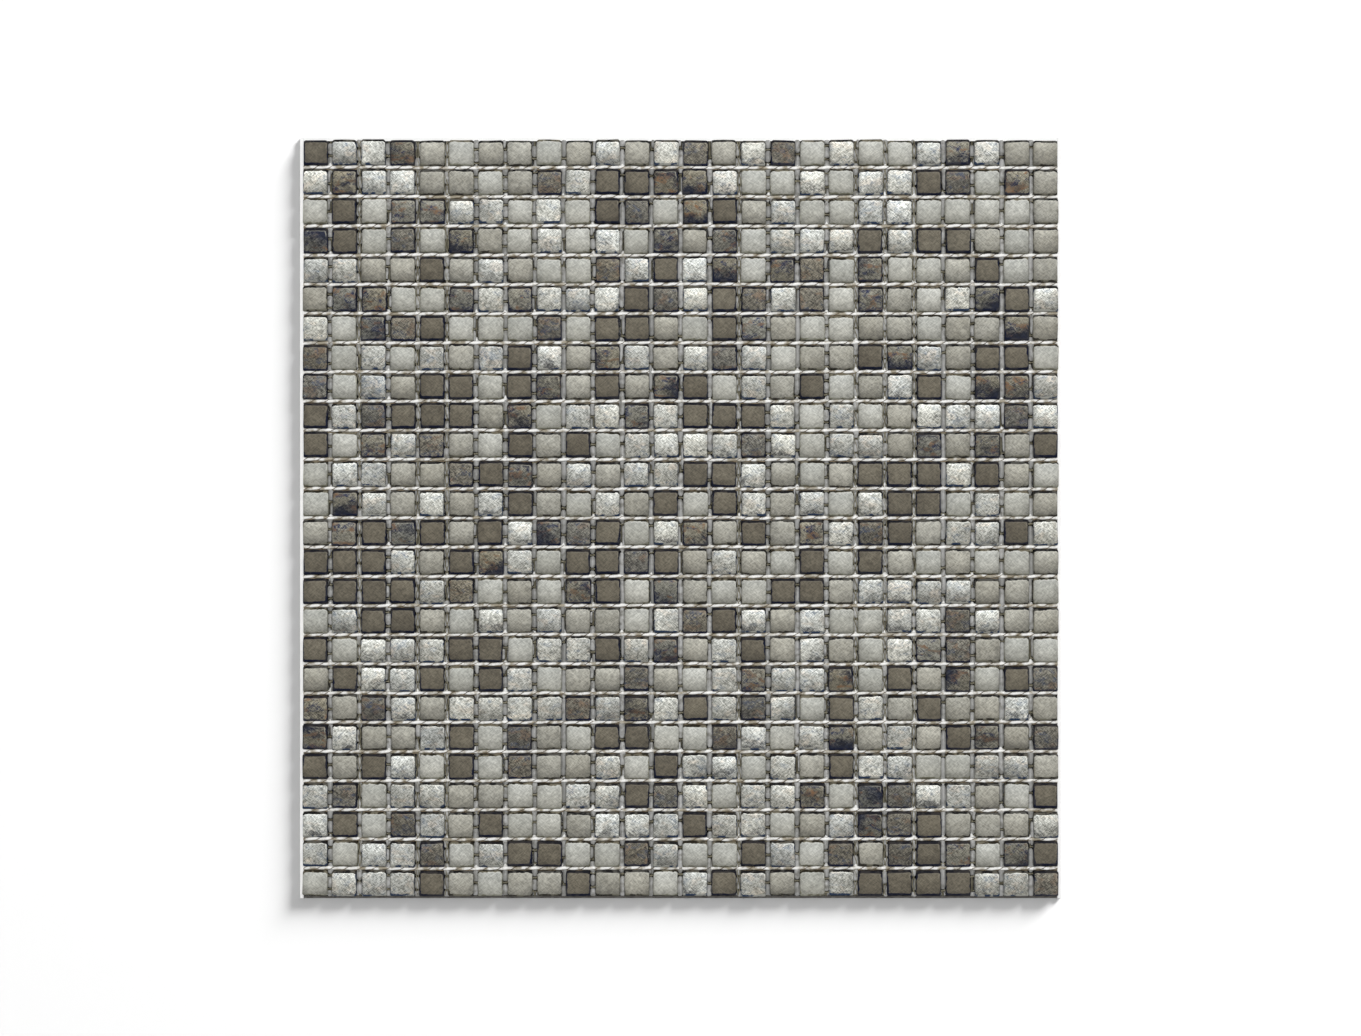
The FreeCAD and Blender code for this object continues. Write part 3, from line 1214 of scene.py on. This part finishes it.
@dataclass
class Glue:
    """The glue in the joints, with webs where they cross and pads along the columns, and the ties
    between two pads."""

    field: TileField
    tree: NodeTree
    base: float = 0.3 * MM
    pad_width: float = 2.4 * MM
    least_length: float = 1.5 * MM
    slip: float = 0.32 * MM
    ripple: float = 0.5 * MM
    ripple_scale: float = 0.6
    seed: int = 8

    def __post_init__(self) -> None:
        """Draw the filling of every joint between columns."""
        self.draw = np.random.default_rng(self.seed)
        kinds = list(Filling)
        numbers = self.draw.choice(len(kinds), self.field.across - 1, p=(0.3, 0.3, 0.4))
        self.fillings = [kinds[number] for number in numbers]

    @staticmethod
    def web_template() -> Object:
        """A web with a broad base and a tip 2.3 mm off, hollow where it passes round the tiles' corners.

        Returns:
            The web.
        """
        radius = 1.25 * MM
        right = [(0.25 * MM, 2.3 * MM)]
        for degrees in (200, 222, 244, 266):
            angle = math.radians(degrees)
            right.append((1.95 * MM + radius * math.cos(angle), 1.75 * MM + radius * math.sin(angle)))
        right += [(1.9 * MM, 0.1 * MM), (1.2 * MM, -0.3 * MM)]
        outline = [(-x, y) for x, y in right] + right[::-1]
        levels = ((1.0, 1.0, 0.0), (1.0, 1.0, 1.9 * MM), (0.75, 0.75, 2.3 * MM))
        return ringed_mesh("web_template", stacked(outline, levels), (0.0, 0.4 * MM, 2.4 * MM))

    @staticmethod
    def pad_template() -> Object:
        """A pad with blunt ends and a rounded top, one unit long and one wide, along a joint.

        Returns:
            The pad.
        """
        count = 12
        outline = []
        for index in range(count):
            angle = math.tau * (index + 0.5) / count
            x, y = math.cos(angle), math.sin(angle)
            outline.append((0.5 * x * abs(x) ** -0.4, 0.5 * y * abs(y) ** -0.4))
        levels = ((1.0, 1.0, 0.0), (1.0, 1.0, 2.1 * MM), (0.86, 0.97, 2.35 * MM))
        return ringed_mesh("pad_template", stacked(outline, levels))

    @staticmethod
    def tie_template() -> Object:
        """A tie across a joint: two knots at the tiles and a thin waist between them.

        Returns:
            The tie.
        """
        right = [(0.95, -0.3), (0.95, 0.3), (0.6, 0.32), (0.3, 0.16)]
        around = right + [(-x, y) for x, y in right[::-1]] + [(-0.3, -0.16), (0.3, -0.16)]
        outline = [(x * MM, y * MM) for x, y in around]
        levels = ((1.0, 1.0, 0.0), (1.0, 1.0, 1.5 * MM), (0.85, 0.85, 1.7 * MM))
        return ringed_mesh("tie_template", stacked(outline, levels))

    def scatter(self, name: str, template: Object, spots: list[tuple], coating: Coating) -> None:
        """Set a template on spots and hang the result on the sheet.

        Args:
            name: The piece's name.
            template: What is set there.
            spots: Place, turn, size and greyness of each.
            coating: Their coating.
        """
        places, turns, sizes, shades = zip(*spots)
        piece = mesh_object(name, places)
        write_attributes(piece, turn=turns, size=sizes, shade=np.clip(shades, 0, 1))
        grow(piece, self.tree, {
            "Template": template,
            "Ripple": self.ripple,
            "Ripple Scale": self.ripple_scale,
            "Seed": 3.0,
            "Material": coating.material(),
        })
        attach(piece)
        bpy.data.objects.remove(template)

    def webs(self) -> list[tuple]:
        """Lay out the two webs at each crossing: white above, grey below.

        Returns:
            Place, turn, size and greyness of each.
        """
        xs = self.field.joints(self.field.columns)
        ys = self.field.joints(self.field.rows)
        spots = []
        for column in range(1, self.field.across):
            grey = self.draw.uniform(0.5, 0.9)
            size = self.draw.uniform(0.85, 1.0)
            for row in range(1, self.field.across):
                drift = self.field.drift(row - 0.5, column - 0.5)
                place = (xs[column] + drift[0], ys[row] + drift[1], self.base)
                turn, shade = self.draw.normal(0, (0.08, 0.15))
                above = size * self.draw.uniform((0.85, 0.6, 0.9), (1.1, 1.1, 1.05))
                below = size * self.draw.uniform((0.9, 0.9, 0.6), (1.15, 1.2, 0.75))
                spots.append((place, turn, above, abs(shade)))
                spots.append((place, math.pi + turn, below, grey + shade))
        return spots

    def pads(self) -> tuple[list[tuple], list[tuple]]:
        """Lay out the pads along the columns and the ties between them.

        Returns:
            Place, turn, size and greyness of each pad, and then of each tie.
        """
        field = self.field
        draw = self.draw
        xs = field.joints(field.columns)
        first, end = field.joints(field.rows)[[0, -1]]
        pads = []
        ties = []
        for column, filling in enumerate(self.fillings, start=1):
            spacing, gap, grey_share, height = filling.value
            width = self.pad_width * draw.uniform(0.9, 1.05)
            grey = grey_share * draw.uniform(0.1, 0.7)
            y = first - spacing * draw.random()
            while y < end:
                low = max(y, first) + gap / 2
                high = min(y + spacing * draw.uniform(0.97, 1.03), end) - gap / 2
                y += spacing
                if high - low < self.least_length:
                    continue
                middle = (low + high) / 2
                row = int(np.clip(round((middle - field.rows[0]) / field.pitch), 0, field.across - 1))
                x = xs[column] + field.drift(row, column - 0.5)[0] + draw.normal(0, 0.05) * MM
                size = [width * draw.uniform(0.93, 1.03), high - low, height * draw.uniform(0.8, 1.1)]
                slip = draw.normal() * self.slip
                # About one pad in five lies aside and is narrower
                if abs(slip) > 1.3 * self.slip:
                    x += slip
                    size[0] -= 1.6 * abs(slip)
                turn, shade = draw.normal(0, (0.015, 0.2))
                pads.append(((x, middle, self.base), turn, size, grey + shade))
                if filling is not Filling.LACED and low > first + gap:
                    size = draw.uniform((0.95, 0.8, 0.8), (1.05, 1.5, 1.2))
                    ties.append(((x, low - gap / 2, self.base), draw.normal(0, 0.12), size, 0.0))
        return pads, ties

    def build(self) -> None:
        """Dab the glue into the joints."""
        pads, ties = self.pads()
        self.scatter("glue_webs", self.web_template(), self.webs(), WEB_COATING)
        self.scatter("glue_pads", self.pad_template(), pads, PAD_COATING)
        self.scatter("yarn_ties", self.tie_template(), ties, LACING_COATING)


# Table, light and camera


@dataclass(frozen=True)
class Lamp:
    """A lamp that faces the sheet from a height and a turn clockwise from +Y, in degrees.

    Its power is what it adds to the light on a level surface, where 1 shows a colour as written.
    """

    name: str
    power: float
    height: float
    turn: float
    spread: float
    distance: float = 2.2
    glossy: bool = True

    def light(self, only_on: bpy.types.Collection | None = None) -> None:
        """Hang the lamp.

        Args:
            only_on: The only things it lights, or None for everything.
        """
        up = math.radians(self.height)
        aside = math.radians(self.turn)
        lamp = bpy.data.lights.new(self.name, "AREA")
        lamp.shape = "DISK"
        lamp.size = 2 * self.distance * math.tan(math.radians(self.spread))
        lamp.energy = self.power * math.pi ** 2 * self.distance ** 2 / math.sin(up)
        thing = bpy.data.objects.new(self.name, lamp)
        level = self.distance * math.cos(up)
        thing.location = (level * math.sin(aside), level * math.cos(aside), self.distance * math.sin(up))
        thing.rotation_euler = (math.pi / 2 - up, 0.0, math.pi - aside)
        thing.visible_glossy = self.glossy
        thing.light_linking.receiver_collection = only_on
        bpy.context.scene.collection.objects.link(thing)


@dataclass(frozen=True)
class Studio:
    """The white table, the soft light and the camera straight above."""

    lamps: tuple[Lamp, ...] = (
        Lamp("overhead", power=0.56, height=86.0, turn=0.0, spread=4.0, glossy=False),
        Lamp("softbox", power=0.24, height=60.0, turn=12.0, spread=22.0),
        Lamp("side_light", power=0.05, height=23.0, turn=38.0, spread=6.0),
    )
    shadow_lamp: Lamp = Lamp("shadow_light", 1.3, 18.5, 42.0, 12.0, distance=12.0, glossy=False)
    ambient: float = 0.16
    table_size: float = 3.0
    table_white: float = 1.09
    table_grey: float = 0.45
    # How far the table's painted shade looks for cover from the sheet
    joint_depth: float = 0.02
    camera_distance: float = 1.3
    frame_width: float = 535.3 * MM

    def table(self) -> Object:
        """The plain table: white to the camera, darker in the joints, and grey to the light.

        Returns:
            The table.
        """
        half = self.table_size / 2
        corners = [(-half, -half, 0), (half, -half, 0), (half, half, 0), (-half, half, 0)]
        top = mesh_object("table", corners, (), [(0, 1, 2, 3)])
        made, wires, shader = new_material("white_table")
        light = self.ambient + sum(lamp.power for lamp in (*self.lamps, self.shadow_lamp))
        white = self.table_white / light
        seen = wires.value("ShaderNodeLightPath", output="Is Camera Ray")
        colour = seen.blend((self.table_grey,) * 3, (white,) * 3)
        # Painted shade: the table darkens where the sheet covers it, in the joints and close beside the sheet
        painted_occlusion = wires.value("ShaderNodeAmbientOcclusion", {"Distance": self.joint_depth}, "AO", samples=8)
        wires.feed(shader, {
            "Base Color": wires.scaled(colour, painted_occlusion.ramp(0.05, 0.45)),
            "Roughness": 0.9,
            "Specular IOR Level": 0.0,
        })
        top.data.materials.append(made)
        top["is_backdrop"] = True
        return top

    def light(self, table: Object) -> None:
        """Set up the lamps and the pale surroundings.

        Args:
            table: The table, which alone gets the shadow.
        """
        world = bpy.data.worlds.new("surroundings")
        bpy.context.scene.world = world
        world.use_nodes = True
        wires = Wiring(world.node_tree)
        rays = wires.node("ShaderNodeLightPath").outputs
        camera, glossy, through = (
            Value(wires, rays[f"Is {kind} Ray"]) for kind in ("Camera", "Glossy", "Transmission")
        )
        seen = camera.maths("MAXIMUM", glossy).maths("MAXIMUM", through)
        wires.feed(world.node_tree.nodes["Background"], {
            "Color": (1.0, 1.0, 1.0, 1.0),
            "Strength": seen.spread(self.ambient, 1.0),
        })
        for lamp in self.lamps:
            lamp.light()
        table_only = bpy.data.collections.new("table_only")
        table_only.objects.link(table)
        self.shadow_lamp.light(table_only)

    def camera(self, height: float) -> None:
        """The camera straight above, with the head of the sheet at the top of the picture.

        Args:
            height: Height of the tiles' faces.
        """
        lens = bpy.data.cameras.new("camera")
        lens.lens = lens.sensor_width * self.camera_distance / self.frame_width
        thing = bpy.data.objects.new("camera", lens)
        thing.location = (0.0, 0.0, height + self.camera_distance)
        bpy.context.scene.collection.objects.link(thing)
        bpy.context.scene.camera = thing


def main() -> None:
    """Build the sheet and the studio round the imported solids."""
    logging.basicConfig(level=logging.INFO, format="%(name)s: %(message)s")
    solid_bounds = [list(corner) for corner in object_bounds()]
    bpy.context.scene.view_settings.view_transform = "Standard"
    groups = {"tile": tile_map_group(), "flecks": fleck_group(), "cloud": cloud_group()}
    placing = placing_tree()
    tiles = TileField(GLAZES)
    tiles.build(placing, groups)
    glue = Glue(tiles, placing)
    Net(tiles, yarn_tree(), glue.fillings).build()
    glue.build()
    studio = Studio()
    studio.light(studio.table())
    studio.camera(solid_bounds[1][2])


if __name__ == "__main__":
    main()
